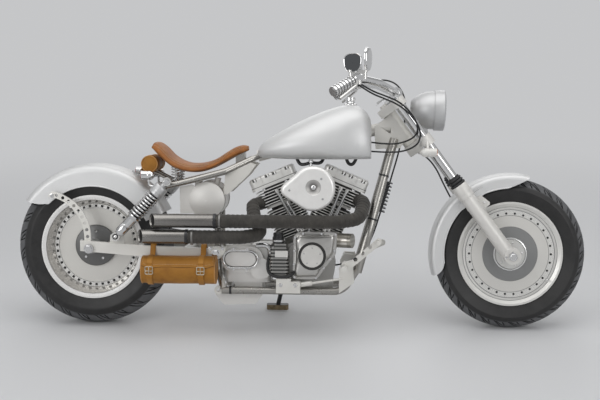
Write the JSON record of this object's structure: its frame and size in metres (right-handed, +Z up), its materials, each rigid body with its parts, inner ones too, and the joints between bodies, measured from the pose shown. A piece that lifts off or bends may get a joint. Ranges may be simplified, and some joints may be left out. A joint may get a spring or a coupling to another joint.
{
  "type": "chopper motorcycle",
  "caption": "Chopper motorcycle with a V engine, raked fork, disc wheels, wrapped side pipes and a thin leather saddle, leaning on its side stand.",
  "frame": {"origin": "centre of the bounding box on the ground", "axes": "+X towards the front wheel, +Y to the rider's left, +Z up; the motorcycle leans 8 degrees to its left on the side stand"},
  "size_m": [2.3918, 0.8812, 1.1686],
  "materials": {
    "tyre": "matte black road rubber",
    "wheel_silver": "satin silver wheel",
    "brake_steel": "ground steel",
    "silver_paint": "satin silver paint",
    "frame_paint": "beige silver powder coat",
    "chrome": "bright chrome",
    "rubber": "black rubber",
    "steel": "bare steel",
    "leather": "oiled tan leather",
    "cast_alloy": "polished and cast alloy",
    "black": "gloss black",
    "belt": "reinforced rubber",
    "cable": "black sheathed cable"
  },
  "bodies": {
    "chassis": {"frame_backbone": "frame_paint", "frame_downtubes": "frame_paint", "frame_lower_rails": "frame_paint", "tie_down_eyes": "frame_paint", "frame_rear": "frame_paint", "regulator": "black", "swingarm": "frame_paint", "rear_axle": "steel", "rear_caliper": "steel", "shocks": "chrome", "rear_fender": "silver_paint", "fender_struts": "frame_paint", "seat": "leather", "seat_springs": "black", "fuel_tank": "silver_paint", "fuel_cap": "chrome", "oil_tank": "cast_alloy", "crankcase": "cast_alloy", "cylinders": "cast_alloy", "cylinder_heads": "cast_alloy", "cam_cover": "chrome", "pushrod_tubes": "chrome", "air_cleaner": "chrome", "intake": "cast_alloy", "primary_cover": "cast_alloy", "transmission": "cast_alloy", "oil_pan": "cast_alloy", "oil_filter": "black", "brake_master": "steel", "exhaust_pipes": "chrome", "drive_belt": "belt", "leather_rolls": "leather", "rear_lights": "chrome", "foot_controls": "steel"},
    "fork": {"fork_trees": "frame_paint", "fork_tubes": "chrome", "dust_boots": "rubber", "fork_legs": "silver_paint", "front_axle": "steel", "front_fender": "silver_paint", "handlebar": "chrome", "grips": "rubber", "hand_controls": "chrome", "mirrors": "chrome", "headlight": "chrome", "front_signals": "chrome", "front_caliper": "steel", "throttle_cable": "cable", "return_cable": "cable", "clutch_cable": "cable", "brake_hose": "cable"},
    "front_wheel": {"front_tyre": "tyre", "front_rim": "wheel_silver", "front_rotor": "brake_steel"},
    "rear_wheel": {"rear_tyre": "tyre", "rear_rim": "wheel_silver", "rear_pulley": "brake_steel"},
    "side_stand": {"side_stand": "steel"}
  },
  "joints": [
    {"name": "steering", "type": "hinge", "parent": "chassis", "child": "fork", "pos_m": [0.48014, -0.02779, 0.74519], "axis": [-0.5948, 0.1119, 0.796], "range_deg": [-30, 30], "deforming": ["throttle_cable", "return_cable", "clutch_cable"]},
    {"name": "front_wheel_spin", "type": "hinge", "parent": "fork", "child": "front_wheel", "pos_m": [0.882, -0.08873, 0.31161], "axis": [0, 0.9903, -0.1392], "continuous": true},
    {"name": "rear_wheel_spin", "type": "hinge", "parent": "chassis", "child": "rear_wheel", "pos_m": [-0.866, -0.08646, 0.32771], "axis": [0, 0.9903, -0.1392], "continuous": true},
    {"name": "stand_fold", "type": "hinge", "parent": "chassis", "child": "side_stand", "pos_m": [-0.151, 0.04482, 0.12655], "axis": [0, 0.8988, 0.4384], "range_deg": [0, 80]}
  ]
}
